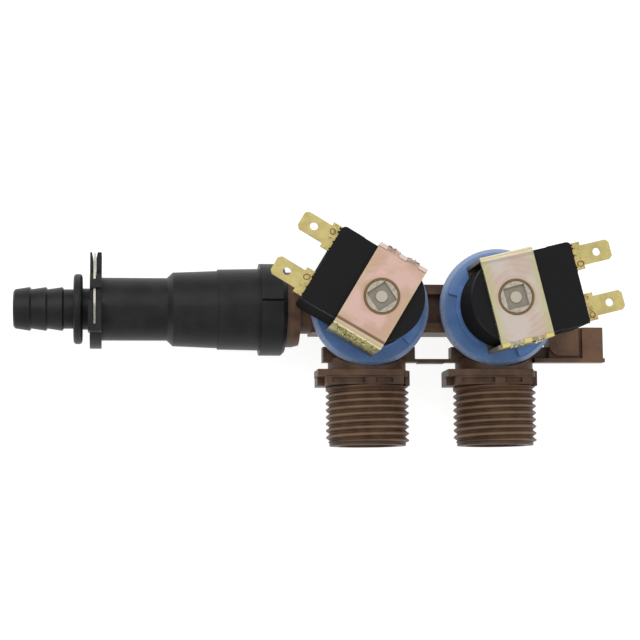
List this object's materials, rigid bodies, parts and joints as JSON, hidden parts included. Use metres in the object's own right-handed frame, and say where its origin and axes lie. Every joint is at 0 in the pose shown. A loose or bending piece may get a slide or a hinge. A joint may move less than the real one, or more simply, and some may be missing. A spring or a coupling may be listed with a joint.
{
  "type": "washing machine inlet valve",
  "caption": "Twin solenoid water inlet valve: two threaded inlets on a moulded manifold, a swivelling coil on each valve seat, and a stepped outlet tube with a clipped-in barbed hose nozzle.",
  "frame": {"origin": "centre of the middle boss on the mounting plate's outer side, midway between the two inlet axes", "axes": "+Z along the coil axes, away from the manifold; -Y out of the threaded inlets; -X out of the outlet nozzle"},
  "size_m": [0.1919, 0.071, 0.0521],
  "materials": {
    "body": "moulded, dull",
    "tube": "moulded, satin",
    "clip": "bright spring steel",
    "seal": "matt",
    "screen": "moulded",
    "washer": "matt",
    "diaphragm": "matt",
    "insert": "moulded",
    "guide": "moulded, satin",
    "bonnet": "moulded, satin",
    "steel": "turned",
    "spring": "drawn wire",
    "bobbin": "moulded",
    "winding": "enamelled copper wire",
    "coil": "moulded, dull",
    "yoke": "yellow-passivated zinc",
    "terminal": "tinned brass"
  },
  "bodies": {
    "valve": {"valve_body": "body", "outlet_tube": "tube", "retaining_clip": "clip", "barbed_nozzle": "tube", "outlet_seal_ring": "seal", "nozzle_seal_ring": "seal", "inlet_screen_left": "screen", "flow_washer_left": "washer", "diaphragm_left": "diaphragm", "diaphragm_insert_left": "insert", "guide_tube_left": "guide", "bonnet_left": "bonnet", "plunger_spring_left": "spring", "inlet_screen_right": "screen", "flow_washer_right": "washer", "diaphragm_right": "diaphragm", "diaphragm_insert_right": "insert", "guide_tube_right": "guide", "bonnet_right": "bonnet", "plunger_spring_right": "spring"},
    "plunger_left": {"plunger_left": "steel", "plunger_seal_left": "seal"},
    "coil_left": {"flux_sleeve_left": "steel", "bobbin_left": "bobbin", "winding_left": "winding", "coil_moulding_left": "coil", "yoke_upper_left": "yoke", "yoke_lower_left": "yoke", "terminal_rear_left": "terminal", "terminal_front_left": "terminal"},
    "plunger_right": {"plunger_right": "steel", "plunger_seal_right": "seal"},
    "coil_right": {"flux_sleeve_right": "steel", "bobbin_right": "bobbin", "winding_right": "winding", "coil_moulding_right": "coil", "yoke_upper_right": "yoke", "yoke_lower_right": "yoke", "terminal_rear_right": "terminal", "terminal_front_right": "terminal"}
  },
  "joints": [
    {"name": "plunger_left_lift", "type": "slide", "parent": "valve", "child": "plunger_left", "axis": [0, 0, 1], "range_m": [0, 0.0024], "stiffness_N_per_m": 60, "springref_m": -0.01, "deforming": ["plunger_spring_left"]},
    {"name": "coil_left_swivel", "type": "hinge", "parent": "valve", "child": "coil_left", "pos_m": [-0.02105, 0.0175, 0.025], "axis": [0, 0, 1], "range_deg": [-20, 20]},
    {"name": "plunger_right_lift", "type": "slide", "parent": "valve", "child": "plunger_right", "axis": [0, 0, 1], "range_m": [0, 0.0024], "stiffness_N_per_m": 60, "springref_m": -0.01, "deforming": ["plunger_spring_right"]},
    {"name": "coil_right_swivel", "type": "hinge", "parent": "valve", "child": "coil_right", "pos_m": [0.02105, 0.0175, 0.025], "axis": [0, 0, 1], "range_deg": [-20, 20]}
  ]
}
